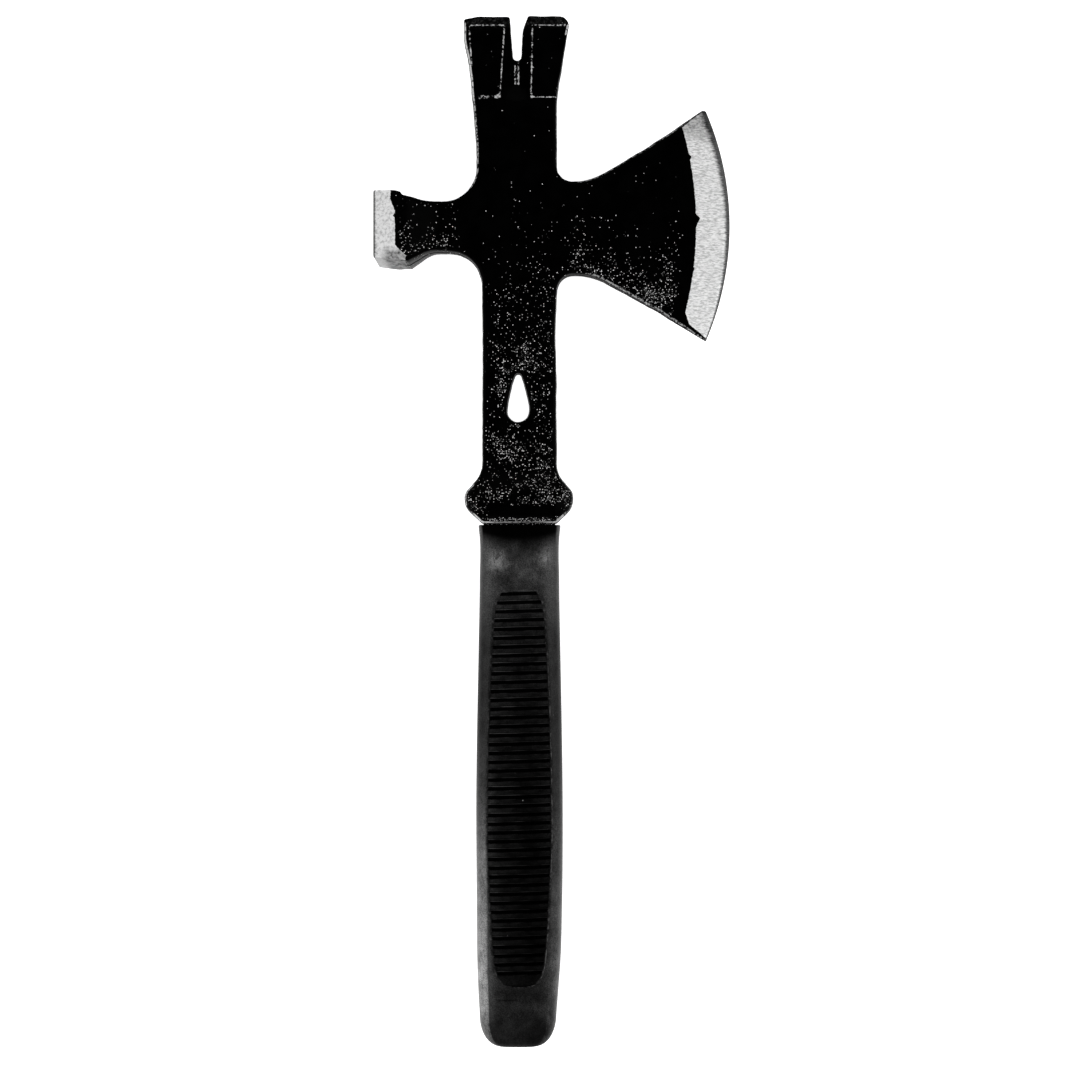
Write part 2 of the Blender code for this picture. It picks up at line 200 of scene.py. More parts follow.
def is_inside(points, loop):
    """Even-odd test of points against a closed loop."""
    x0, y0 = loop[:, 0], loop[:, 1]
    x1, y1 = np.roll(x0, -1), np.roll(y0, -1)
    inside = np.zeros(len(points), dtype=bool)
    for low in range(0, len(points), 4000):
        px, py = points[low:low + 4000, 0, None], points[low:low + 4000, 1, None]
        crosses = (y0 > py) != (y1 > py)
        with np.errstate(divide="ignore", invalid="ignore"):
            at = x0 + (py - y0) * (x1 - x0) / (y1 - y0)
        inside[low:low + 4000] = (crosses & (px < at)).sum(1) % 2 == 1
    return inside


def teardrop():
    """The nail hole: a round foot, two bowed sides and a small round tip."""
    foot_y, foot_radius, tip_y, tip_radius, middle_x = 218.8, 3.55, 230.4, 1.0, -0.4
    foot, tip = np.linspace(-1.57, 0, 14), np.linspace(0.3, 1.57, 6)
    right = [(foot_radius * math.cos(a), foot_y + foot_radius * math.sin(a)) for a in foot]
    for share in np.linspace(0.08, 0.95, 14):
        half = foot_radius + (tip_radius - foot_radius) * share**1.55
        right.append((half, foot_y + (tip_y - foot_y) * share))
    right += [(tip_radius * math.cos(a), tip_y + tip_radius * math.sin(a)) for a in tip]
    left = [(-x, y) for x, y in reversed(right[1:-1])]
    return np.array(right + left) + (middle_x, 0)


# --- The forging's thickness -------------------------------------------------------------------------------

SHANK_HALF, HUB_HALF = 4.8, 5.4
CLAW_FOOT_Y, CLAW_TIP_Y = 326.4, 351.9

# Half thickness up the handle as (y, half), then out along the blade and the poll as (x, half).
SPINE = [
    (178, 8.2), (180.4, 8.9), (182.2, 10.2), (184.5, 10.6), (188.5, 10.5), (191.5, 9.4), (195, 7.2),
    (199, 5.5), (204, 4.9), (212, SHANK_HALF), (240, SHANK_HALF), (262, 5.3), (275, HUB_HALF),
    (300, HUB_HALF), (315, 5.2), (CLAW_FOOT_Y, 5.0), (360, 4.3),
]
BLADE = [(0, HUB_HALF), (18, HUB_HALF), (24, 5.2), (31, 4.7), (45, 3.65), (58, 2.62), (66, 2.0), (76, 1.3)]
POLL = [(0, HUB_HALF), (18, HUB_HALF), (25, 5.6), (29, 6.6), (34, 9.2), (38, 11.4), (40.5, 12), (52, 12)]
PRIMER_WIDTH = 2.4       # painted facet between the cheek and the ground bevel
SHOULDER_HALF = 2.35     # half thickness where the ground bevel starts
EDGE_LAND = 0.06         # half thickness at the cutting edge
MICRO_WIDTH, MICRO_Z = 1.7, 0.55   # the final, steeper bevel: its width and where it starts


def profile(table, places):
    return curve_through(table, places)[:, 0]


def bevel_places(points):
    """How far points are past the shoulder line, and how far short of the cutting edge."""
    past = np.linalg.norm(points - SHOULDER_CENTRE, axis=1) - SHOULDER_RADIUS
    short = EDGE_RADIUS - np.linalg.norm(points - EDGE_CENTRE, axis=1)
    return past, short


def half_thickness(points):
    """Half the forging's thickness over its plan, before its edges are rounded."""
    x, y = points[:, 0], points[:, 1]
    spine = profile(SPINE, y)
    blade_share = smooth_step(11, 22, x)
    poll_share = smooth_step(13, 24, -x)
    span = np.interp(x, (15, 64), (16, 40))
    crown = 1 - 0.16 * np.clip(np.abs(y - 281.5) / span, 0, 1)**2 * blade_share
    half = spine * (1 - blade_share - poll_share)
    half += profile(BLADE, x) * crown * blade_share + profile(POLL, -x) * poll_share

    # The claw's two flat wedge faces, the short bevel on their tips and the V between them.
    wedge = np.interp(y, (CLAW_FOOT_Y, CLAW_TIP_Y, LENGTH + 1), (4.9, 1.75, 0.5))
    on_claw = y > CLAW_FOOT_Y - 3
    half = np.where(on_claw, np.minimum(half, wedge + np.maximum(CLAW_FOOT_Y - y, 0) * 0.3), half)
    left, right, valley_left, valley_right = claw_lines(y)
    depth = np.interp(y, (CLAW_FOOT_Y - 1.5, 331.0, 345, LENGTH + 1), (0, 1.9, 1.5, 0.6))
    share = np.where(x < valley_left, (x - left) / (valley_left - left), (right - x) / (right - valley_right))
    share = np.clip(np.where((x >= valley_left) & (x <= valley_right), 1, share), 0, 1)
    half = np.where(on_claw, np.maximum(half - depth * share, 0.3), half)

    # The painted facet in front of the ground bevel, the bevel and the steeper strip along its edge.
    past, short = bevel_places(points)
    primer = SHOULDER_HALF - past * math.tan(math.radians(6.5))
    reach = np.maximum(past, 0) / np.maximum(past + short - MICRO_WIDTH, 0.1)
    ground = SHOULDER_HALF + (MICRO_Z - SHOULDER_HALF) * reach
    micro = EDGE_LAND + (MICRO_Z - EDGE_LAND) * short / MICRO_WIDTH
    bevel = np.where(past < 0, primer, np.minimum(ground, micro))
    near_edge = x > 50
    return np.where(near_edge, np.maximum(np.minimum(half, bevel), EDGE_LAND), half)


def claw_lines(y):
    """Where the inner borders of the claw's faces and of the groove's floor run, at heights y."""
    t = np.clip((y - 326) / 26, 0, 1)
    left = -6.7 + 1.5 * t
    right = 4.0 + 0.5 * t
    return left, right, np.full_like(t, -1.5), np.full_like(t, -0.3)


def edge_radius(points):
    """How generously the forging's rims are rounded: the hammer face and the ground edges are sharp."""
    x, y = points[:, 0], points[:, 1]
    radius = np.full(len(points), 1.35)
    radius = radius + (0.7 - radius) * smooth_step(-38.5, -41.5, x)
    radius = radius + (0.75 - radius) * smooth_step(322, 328, y)
    radius = radius + (2.6 - radius) * smooth_step(197, 191, y)
    radius = radius + (0.35 - radius) * smooth_step(56, 63, x)
    return radius


def draft(points):
    """How far the rims lean in from the parting line to the faces. Ground faces don't."""
    x, y = points[:, 0], points[:, 1]
    lean = np.full(len(points), 0.28)
    lean *= smooth_step(-43, -40, x)
    lean *= 1 - smooth_step(52, 62, x)
    return lean * (1 - 0.5 * smooth_step(325, 350, y))


def forging_mesh():
    """The forging as a height field over its plan: its front and back faces, and the rims between them.

    Returns points, faces and, by name, the numbers at each point that the material reads.
    """
    edge_arc = arc_points(EDGE_CENTRE, EDGE_RADIUS, EDGE_HALF_ANGLE, STEP)
    corners = POLL_SIDE + [(x, y, 0) for x, y in edge_arc] + CLAW_SIDE
    outer = evenly_spaced(rounded(corners), STEP)
    hole = evenly_spaced(teardrop()[::-1], 0.4)
    loops = []
    for loop in (outer, hole):
        normals = inward_normals(loop)
        uneven = 0.5 + 0.5 * lumps(loop, 5.5, 1) + 0.22 * lumps(loop, 1.6, 2)
        worked = smooth_step(-42.5, -40, loop[:, 0]) * (1 - smooth_step(50, 58, loop[:, 0]))
        loop = loop + normals * (np.clip(uneven, 0, 1.3) * 0.22 * worked)[:, None]
        loops.append((loop, normals))
    rims = [(loop, loop + normals * draft(loop)[:, None], normals) for loop, normals in loops]

    # The rim that rounds over leaves out the cutting edge, which is sharp.
    outer_top = rims[0][1]
    off_edge = np.linalg.norm(outer_top - EDGE_CENTRE, axis=1) < EDGE_RADIUS - 0.05
    off_edge |= outer_top[:, 0] < 55
    round_rims = [outer_top[off_edge], rims[1][1]]
    breaks = np.flatnonzero(np.linalg.norm(np.diff(round_rims[0], axis=0), axis=1) > 3)
    chains = [(part, False) for part in np.split(round_rims[0], breaks + 1)] + [(round_rims[1], True)]
    if len(chains) == 3:
        chains = [(np.vstack([chains[1][0], chains[0][0]]), False), chains[2]]

    def rim_distance(points):
        return np.min([distance_to(points, chain, closed) for chain, closed in chains], axis=0)

    # Creases that the triangles must follow, and those of them that carry painted highlight lines.
    creases, highlit_creases = [], []
    for past in (-PRIMER_WIDTH, 0.0):
        creases.append(arc_points(SHOULDER_CENTRE, SHOULDER_RADIUS + past, math.radians(17.5), STEP))
    creases.append(arc_points(EDGE_CENTRE, EDGE_RADIUS - MICRO_WIDTH, EDGE_HALF_ANGLE, STEP))
    rise = np.arange(CLAW_FOOT_Y, LENGTH, STEP)
    left, right, valley_left, valley_right = claw_lines(rise)
    low, high = rise[0], CLAW_TIP_Y
    flat = rise <= high
    for x in (left, right):
        line = np.stack([x, rise], axis=1)
        creases.append(line)
        highlit_creases.append(line[flat])
    floor = rise > 331
    for x, length in ((valley_left, 14), (valley_right, 22)):
        line = np.stack([x, rise], axis=1)[floor]
        creases.append(line)
        highlit_creases.append(line[:length])
    for y in (low, high):
        for x0, x1 in ((-20, left[0] - 0.15), (right[0] + 0.15, 19)):
            if y == high:
                x0, x1 = (x0, left[-1] - 0.1) if x0 < 0 else (right[-1] + 0.1, x1)
            across = np.arange(x0, x1, STEP)
            line = np.stack([across, np.full(len(across), y)], axis=1)
            creases.append(line)
            highlit_creases.append(line)

    flank = np.linspace((-17.4, 351.6), (-16.4, 337.0), 30)
    creases.append(flank)
    highlit_creases.append(flank)

    points = []
    edges = []

    def add_chain(chain, closed):
        start = len(points)
        points.extend(chain.tolist())
        last = len(chain) if closed else len(chain) - 1
        edges.extend((start + i, start + (i + 1) % len(chain)) for i in range(last))

    for _, top, _ in rims:
        add_chain(top, True)
    for crease in creases:
        keep = is_inside(crease, outer_top) & (distance_to(crease, outer_top) > 0.25)
        keep &= distance_to(crease, rims[1][1]) > 0.25
        for run in np.split(crease, np.flatnonzero(np.diff(keep.astype(int))) + 1):
            inside_run = is_inside(run, outer_top) & (distance_to(run, outer_top) > 0.25)
            if len(run) > 1 and inside_run.all():
                add_chain(run, False)

    # Rings along the rims, close enough together to carry their rounding, then an even spread.
    loose = []
    for offset in (0.13, 0.34, 0.62, 0.98, 1.45, 2.1):
        for _, top, normals in rims:
            ring = top + normals * offset
            ok = is_inside(ring, outer_top) & ~is_inside(ring, rims[1][1])
            gap = np.minimum(distance_to(ring, outer_top), distance_to(ring, rims[1][1]))
            ring = ring[ok & (gap > offset * 0.93)]
            if offset > 0.9:
                ring = ring[::2]
            loose.append(ring)
    xs = np.arange(-POLL_REACH, EDGE_REACH, GRID)
    ys = np.arange(180, LENGTH, GRID * 0.866)
    grid = np.array([(x + (j % 2) * GRID / 2, y) for j, y in enumerate(ys) for x in xs])
    grid = grid[is_inside(grid, outer_top) & ~is_inside(grid, rims[1][1])]
    gap = np.minimum(distance_to(grid, outer_top), distance_to(grid, rims[1][1]))
    loose.append(grid[gap > 2.6])
    loose = np.vstack(loose)
    near = np.full(len(loose), 9.0)
    for crease in creases:
        near = np.minimum(near, distance_to(loose, crease, False))
    loose = loose[near > 0.3]
    points.extend(loose.tolist())

    verts, _, tris, sources, _, _ = delaunay_2d_cdt([Vector(p) for p in points], edges, [], 2, 1e-5)
    plan = np.array([(v.x, v.y) for v in verts])
    centres = plan[np.array(tris)].mean(axis=1)
    real = is_inside(centres, outer_top) & ~is_inside(centres, rims[1][1])
    tris = [tri for tri, keep in zip(tris, real) if keep]
    index_of = {}
    for new, old in enumerate(sources):
        for source in old:
            index_of[source] = new

    rim = rim_distance(plan)
    radius = np.minimum(edge_radius(plan), half_thickness(plan) * 0.62)
    half = half_thickness(plan)
    drop = radius * (1 - np.sqrt(1 - (1 - np.clip(rim / radius, 0, 1))**2))
    forged = smooth_step(0.4, 3, rim) * (1 - smooth_step(49, 57, plan[:, 0]))
    forged *= smooth_step(-43.5, -40, plan[:, 0])
    forged *= 1 - 0.7 * smooth_step(324, 328, plan[:, 1])
    unevenness = 0.09 * lumps(plan, 9, 3) + 0.05 * lumps(plan, 3.6, 4)
    unevenness_back = 0.09 * lumps(plan, 9, 5) + 0.05 * lumps(plan, 3.6, 6)
    front = np.clip(half - drop + unevenness * forged, 0.02, POLL_HALF)
    back = np.clip(half - drop + unevenness_back * forged, 0.02, POLL_HALF)

    count = len(plan)
    cloud = [np.column_stack([plan, front]), np.column_stack([plan, -back])]
    faces = [tuple(tri) for tri in tris] + [tuple(count + i for i in reversed(tri)) for tri in tris]
    plan_of = [np.arange(count), np.arange(count)]
    total = 2 * count
    start = 0
    for loop, top, normals in rims:
        ring = np.array([index_of[start + i] for i in range(len(loop))])
        start += len(loop)
        rows = [ring]
        top_z, low_z = front[ring], -back[ring]
        flash = np.minimum(0.75, 0.3 * top_z)
        proud = 0.10 * smooth_step(0.05, 0.25, draft(loop))
        for z, inset in (
            (0.5 * top_z + 0.5 * flash, 0.5), (flash, 0.12), (flash * 0.92, 0.0), (-flash * 0.92, 0.0),
            (-flash, 0.12), (0.5 * low_z - 0.5 * flash, 0.5),
        ):
            at = loop + (top - loop) * inset
            if inset == 0.12:
                at = at + normals * proud[:, None]
            cloud.append(np.column_stack([at, z]))
            plan_of.append(ring)
            rows.append(np.arange(total, total + len(loop)))
            total += len(loop)
        rows.append(ring + count)
        for upper, lower in zip(rows, rows[1:]):
            for i in range(len(loop)):
                j = (i + 1) % len(loop)
                faces.append((int(upper[j]), int(upper[i]), int(lower[i]), int(lower[j])))
    cloud = np.vstack(cloud)
    plan_of = np.concatenate(plan_of)

    # How far each point is from the painted highlight lines, which are wider at the left of the claw's foot.
    crease_gap = np.full(count, 9.0)
    for line in highlit_creases:
        crease_gap = np.minimum(crease_gap, distance_to(plan, line, False))
    rim_gap = np.concatenate([rim, rim, np.zeros(total - 2 * count)])
    heavy = (plan[:, 0] < -7) & (plan[:, 0] > -14.5) & (np.abs(plan[:, 1] - CLAW_FOOT_Y) < 1.6)
    crease_gap = np.where(heavy, np.maximum(crease_gap - 0.45, 0), crease_gap)
    crease_gap = np.concatenate([crease_gap, crease_gap, np.full(total - 2 * count, 9.0)])
    bare, edge, dull = bare_steel(cloud, rim_gap)

    # The tang, down inside the sleeve, from a collar that closes the gap under the bolster.
    start = len(cloud)
    collar, root = (12.3, 5.5), (8.6, 4.2)
    rings = ((*collar, 181.5), (*collar, GRIP_TOP_Y + 0.04), (*root, GRIP_TOP_Y + 0.02), (*root, 172.0))
    tang = [(sx * w, y, sz * t) for w, t, y in rings for sx, sz in ((-1, -1), (1, -1), (1, 1), (-1, 1))]
    added = len(tang)
    cloud = np.vstack([cloud, tang])
    for base in (start, start + 4, start + 8):
        for i in range(4):
            j = (i + 1) % 4
            faces.append((base + j, base + i, base + 4 + i, base + 4 + j))
    faces.append((start, start + 1, start + 2, start + 3))
    faces.append((start + 15, start + 14, start + 13, start + 12))
    attributes = {
        "rim_mm": np.append(rim_gap, np.full(added, 3.0)),
        "crease_mm": np.append(crease_gap, np.full(added, 9.0)),
        "bare_mm": np.append(bare, np.full(added, -9.0)),
        "edge_mm": np.append(edge, np.full(added, 9.0)),
        "dull": np.append(dull, np.zeros(added)),
    }
    wall = np.zeros(len(cloud), dtype=bool)
    wall[2 * count:start] = True
    attributes["glint"] = glint_share(cloud, attributes["rim_mm"], wall)
    attributes["rim_highlight"] = rim_highlight(cloud)
    # Painted sheen on the claws' short tip bevels.
    attributes["tip_sheen"] = smooth_step(CLAW_TIP_Y - 1.2, CLAW_TIP_Y + 0.5, cloud[:, 1])
    return cloud, faces, attributes


def glint_share(points, rim, wall):
    """How many painted glints lie on the scaly forged skin, from 0 to 1: bright specks laid into the paint's
    colour.

    They are most above and below the nail hole and low on the cheek and the poll's neck; the claw has
    hardly any. Walls of the head, seen from the side, have few.
    """
    x, y = points[:, 0], points[:, 1]
    share = np.interp(
        y,
        (180, 181.4, 182.0, 186.0, 187.5, 195, 206, 214, 228, 236, 243, 250, 262, 270, 284, 300, 330),
        (0.3, 0.25, 0, 0, 0.07, 0.07, 0.08, 0.05, 0.06, 0.1, 0.04, 0.035, 0.03, 0.015, 0.006, 0.002, 0.002),
    )
    share *= 1 - 0.65 * smooth_step(-6, -12, x) * smooth_step(193, 200, y)
    share *= 1 + 1.1 * smooth_step(3, 9, x) * smooth_step(205, 195, y)
    above = y - np.interp(x, (20, 62), (262, 250))
    cheek = 0.002 + 0.02 * smooth_step(32, 14, above) + 0.11 * smooth_step(20, -1, above)
    cheek *= smooth_step(13, 20, x)
    share = np.where(x > 13, np.maximum(share * smooth_step(30, 13, x), cheek), share)
    poll = smooth_step(-17, -24, x) * (0.014 + 0.13 * smooth_step(281, 271, y))
    share = np.where(x < -15, np.maximum(share * smooth_step(-30, -15, x), poll), share)
    share += 0.22 * np.exp(-((x + 14.5) / 2.6)**2 - ((y - 184.6) / 2.2)**2)
    flat = points * (1, 1, 0)
    share *= 3.2 * np.exp(0.8 * lumps(flat, 8, 7) + 0.7 * lumps(flat, 3.2, 8))
    past = bevel_places(points[:, :2])[0]
    share *= np.where(x > 45, smooth_step(-3.4, -5.5, past), 1)
    least, most = np.where(y > 200, 0.02, 0.12), np.where(y > 200, 0.07, 0.5)
    share = np.where(wall, np.clip(share, least, most), share * (0.1 + 0.9 * smooth_step(0.5, 1.6, rim)))
    return np.clip(share, 0, 1)


def bare_steel(points, rim):
    """How far points are past the line to which the paint is ground off, how far from the edge, and how dull.

    The line has its chips: tongues of paint up the blade and a foot of it along the lower corner, and on the
    poll bare steel that flares out low down. How far from the edge is a share of the honed strip's width.
    """
    x, y = points[:, 0], points[:, 1]
    past, short = bevel_places(points[:, :2])

    def tongue(low, peak, high, reach):
        return reach * np.clip(np.minimum((y - low) / (peak - low), (high - y) / (high - peak)), 0, 1)

    blade = past - tongue(282.2, 285.4, 286.6, 1.5) - tongue(305.2, 306.6, 307.0, 0.9)
    blade -= tongue(266.8, 267.8, 268.4, 0.7) + tongue(234, 243.2, 252.8, 5.6)
    band_low = np.interp(x, (54, 58, 62, 65), (0.75, 1.9, 1.5, 0.9))
    band = np.where(y > 300, np.interp(x, (50, 62), (1.6, 0.5)), band_low)
    blade = np.minimum(blade, (rim - band) * 1.2)
    poll = -42.2 - x - tongue(286.0, 290.0, 320, 1.6) - tongue(283.6, 284.2, 284.9, 1.2)
    poll += tongue(240, 271.0, 274.4, 3.6)
    bare = np.where(x > 45, blade, np.where(x < -30, poll, -9))
    strip = np.interp(y, (243, 262, 283, 312), (0.5, 1.1, 1.8, 2.6))
    edge = np.where(x > 45, short / strip, np.where(x < -30, (x + POLL_REACH) * 1.2, 9))
    wall = (x < -30) & (rim == 0)
    tip = 0.75 * smooth_step(309, 318, y) * (x > 45)
    swirl = 1.1 * smooth_step(-47.5, -44, x) * smooth_step(274, 271.5, y) * (x < -30)
    return bare, np.where(wall, 9, edge), np.clip(tip + swirl, 0, 1)


def rim_highlight(points):
    """How strong the painted highlights along the rims of the forging are, from 0 to 1."""
    x, y = points[:, 0], points[:, 1]
    left_claw = smooth_step(-13, -15, x) * smooth_step(325, 327, y) * smooth_step(353.5, 352, y)
    left_arm = 0.62 * smooth_step(-12, -14, x) * smooth_step(291, 297, y) * smooth_step(328, 325, y)
    right_claw = smooth_step(12, 14, x) * (0.7 * (y > 325.5) * (y < 330) + 0.9 * (y > 348.5) * (y < 352.3))
    above = 0.45 * (x > 20) * (y > 292)
    below = 0.6 * (x > 22) * (y < 266)
    bolster = smooth_step(-14, -16, x) * 0.7 * (y < 197) * (y > 186)
    bolster += smooth_step(185, 182.5, y) * np.interp(x, (-12, 0, 3, 10), (1.0, 0.9, 0.55, 0.85))
    return np.clip(left_claw + left_arm + right_claw + above + below + bolster, 0, 1)


# --- Materials ---------------------------------------------------------------------------------------------

class Nodes:
    """A material's node tree with one short call for each node."""

    def __init__(self, name):
        self.material = bpy.data.materials.new(name)
        self.material.use_nodes = True
        self.tree = self.material.node_tree
        self.shader = self.tree.nodes["Principled BSDF"]

    def link(self, source, target):
        if isinstance(source, (int, float)):
            target.default_value = source
        elif isinstance(source, tuple):
            target.default_value = source
        else:
            self.tree.links.new(source, target)

    def add(self, kind, inputs=(), out=0, **settings):
        node = self.tree.nodes.new(kind)
        for key, value in settings.items():
            setattr(node, key, value)
        for key, value in dict(inputs).items():
            self.link(value, node.inputs[key])
        return node.outputs[out]

    def math(self, operation, a, b=0.0):
        return self.add("ShaderNodeMath", {0: a, 1: b}, operation=operation)

    def ramp(self, value, low, high, out_low=0.0, out_high=1.0):
        return self.add(
            "ShaderNodeMapRange", {0: value, 1: low, 2: high, 3: out_low, 4: out_high},
            interpolation_type="SMOOTHSTEP",
        )

    def mix(self, share, a, b):
        node = self.tree.nodes.new("ShaderNodeMix")
        node.data_type = "RGBA"
        self.link(share, node.inputs[0])
        self.link(a, node.inputs[6])
        self.link(b, node.inputs[7])
        return node.outputs[2]

    def mix_number(self, share, a, b):
        return self.add("ShaderNodeMix", {0: share, 2: a, 3: b})

    def attribute(self, name):
        return self.add("ShaderNodeAttribute", out=2, attribute_name=name)

    def millimetres(self, stretch=(1, 1, 1)):
        """The object's own coordinates in millimetres, so that textures keep their real scale."""
        place = self.add("ShaderNodeTexCoord", out=3)
        node = self.tree.nodes.new("ShaderNodeMapping")
        node.inputs["Scale"].default_value = tuple(k / MM for k in stretch)
        self.tree.links.new(place, node.inputs["Vector"])
        return node.outputs[0]

    def noise(self, vector, size, detail=2.0, rough=0.5):
        inputs = {"Vector": vector, "Scale": 1 / size, "Detail": detail, "Roughness": rough}
        return self.add("ShaderNodeTexNoise", inputs)

    def facets(self, vector, cell, radius, share):
        """Small bright spots in a share of cells, each with a brightness of its own."""
        node = self.tree.nodes.new("ShaderNodeTexVoronoi")
        self.link(vector, node.inputs["Vector"])
        self.link(1 / cell, node.inputs["Scale"])
        lot = self.add("ShaderNodeSeparateColor", {0: node.outputs["Color"]}, 0)
        shine = self.add("ShaderNodeSeparateColor", {0: node.outputs["Color"]}, 1)
        spot = self.ramp(node.outputs["Distance"], 0.6 * radius / cell, radius / cell, 1.0, 0.0)
        there = self.math("LESS_THAN", lot, share)
        shown = self.math("MULTIPLY", spot, there)
        return self.math("MULTIPLY", shown, self.ramp(shine, 0.1, 1.1, 0.08, 1.0))

    def bump(self, height, distance, strength):
        return self.add("ShaderNodeBump", {"Height": height, "Distance": distance * MM, "Strength": strength})

    def finish(self, **values):
        for key, value in values.items():
            self.link(value, self.shader.inputs[key.replace("_", " ")])
        return self.material


def grey(value):
    return (value, value, value, 1.0)


def forging_material():
    """Near-black paint over rough forged steel, ground through to bare metal, with painted glints,
    highlights, sheen and shade.
    """
    n = Nodes("forged_steel")
    mm = n.millimetres()

    # Paint: nearly black, over scale-pitted steel; the glints of its small facets are painted into the colour
    # as bright specks.
    grain = n.noise(mm, 0.85, 3.0, 0.6)
    swell = n.noise(mm, 6.0, 2.0, 0.5)
    rim = n.attribute("rim_mm")
    paint_bump = n.bump(grain, 0.05, n.ramp(rim, 0.5, 1.6, 0.3, 1.0))
    painted_glint = n.facets(mm, 0.46, 0.2, n.attribute("glint"))

    # Bare steel: fine grinding scratches across the edge, with painted shade along the honed strip and on the
    # sides.
    scratches = n.noise(n.millimetres((0.4, 5.0, 5.0)), 1.0, 4.0, 0.7)
    deep = n.noise(n.millimetres((0.3, 2.6, 2.6)), 1.0, 2.0, 0.5)
    steel_bump = n.bump(scratches, 0.02, 0.5)
    edge = n.math("ADD", n.attribute("edge_mm"), n.math("MULTIPLY", n.math("SUBTRACT", deep, 0.5), 0.7))
    honed = n.ramp(edge, 0.45, 1.3, 0.12, 1.0)
    side = n.ramp(rim, 0.0, 0.3, 0.45, 1.0)

    # The paint's ragged border with the ground faces.
    ragged = n.math("SUBTRACT", n.noise(mm, 0.9, 4.0, 0.65), 0.5)
    bare_share = n.ramp(n.math("ADD", n.attribute("bare_mm"), n.math("MULTIPLY", ragged, 0.7)), -0.06, 0.06)

    # Painted highlights: thin grey lines along the creases and rims, broken into dashes.
    broken = n.noise(mm, 0.8, 3.0, 0.6)
    patches = n.noise(mm, 2.6, 1.0, 0.5)
    patchy = n.math("ADD", n.math("MULTIPLY", broken, 0.6), n.math("MULTIPLY", patches, 0.4))
    wander = n.math("MULTIPLY", n.math("SUBTRACT", n.noise(mm, 1.1, 2.0, 0.5), 0.5), 0.7)  # in millimetres
    off_crease = n.math("ABSOLUTE", n.math("ADD", n.attribute("crease_mm"), wander))
    crease = n.math("MULTIPLY", n.ramp(off_crease, 0.08, 0.3, 1.0, 0.0), n.ramp(patchy, 0.44, 0.55))
    off_rim = n.math("ABSOLUTE", n.math("SUBTRACT", rim, 0.35))
    rim_highlight = n.attribute("rim_highlight")
    bright = n.ramp(n.math("ADD", broken, n.math("MULTIPLY", rim_highlight, 0.24)), 0.58, 0.7)
    rim_line = n.ramp(off_rim, 0.15, 0.38, 1.0, 0.0)
    rim_line = n.math("MULTIPLY", rim_line, n.math("MULTIPLY", bright, rim_highlight))
    rim_and_crease_highlight = n.math("MAXIMUM", crease, rim_line)

    tone = n.math("ADD", n.math("MULTIPLY", scratches, 0.55), n.math("MULTIPLY", deep, 0.45))
    on_poll = n.math("LESS_THAN", n.add("ShaderNodeSeparateXYZ", {0: mm}), ORIGIN.x)
    poll_tone = n.math("ADD", n.math("MULTIPLY", n.noise(mm, 0.9, 4.0, 0.65), 0.5), 0.27)
    tone = n.mix_number(on_poll, tone, poll_tone)
    steel = n.mix(n.ramp(tone, 0.4, 0.57), grey(0.42), grey(0.82))
    smudge = n.ramp(n.noise(mm, 1.6, 4.0, 0.6), 0.3, 0.62, 1.0, 0.45)
    smudged = n.math("MULTIPLY", n.attribute("dull"), smudge)
    # Painted shade along the honed strip and on the ground sides, with smudges.
    unshaded_and_unsmudged = n.math("MULTIPLY", n.math("MULTIPLY", honed, side), n.math("SUBTRACT", 1.0, smudged))
    steel = n.mix(unshaded_and_unsmudged, grey(0.0), steel)
    paint = n.mix(n.ramp(swell, 0.3, 0.7), grey(0.0002), grey(0.0006))
    # Painted sheen on the claw tips, laid into the paint's colour.
    tip_sheen_share = n.math("MULTIPLY", n.attribute("tip_sheen"), n.ramp(n.noise(mm, 0.9, 4.0, 0.7), 0.45, 0.75))
    paint = n.mix(tip_sheen_share, paint, grey(0.03))
    # Painted glints: small bright specks in the paint's colour.
    paint = n.mix(painted_glint, paint, grey(0.95))
    # Painted highlights along the rims and creases, in grey.
    paint = n.mix(rim_and_crease_highlight, paint, grey(0.5))
    colour = n.mix(bare_share, paint, steel)
    normal = n.add("ShaderNodeMix", {0: bare_share, 4: paint_bump, 5: steel_bump}, 1, data_type="VECTOR")
    return n.finish(
        Base_Color=colour,
        Metallic=n.mix_number(bare_share, 0.0, 0.2),
        Roughness=n.mix_number(bare_share, 0.22, 0.45),
        Specular_IOR_Level=0.004,
        Normal=normal,
    )


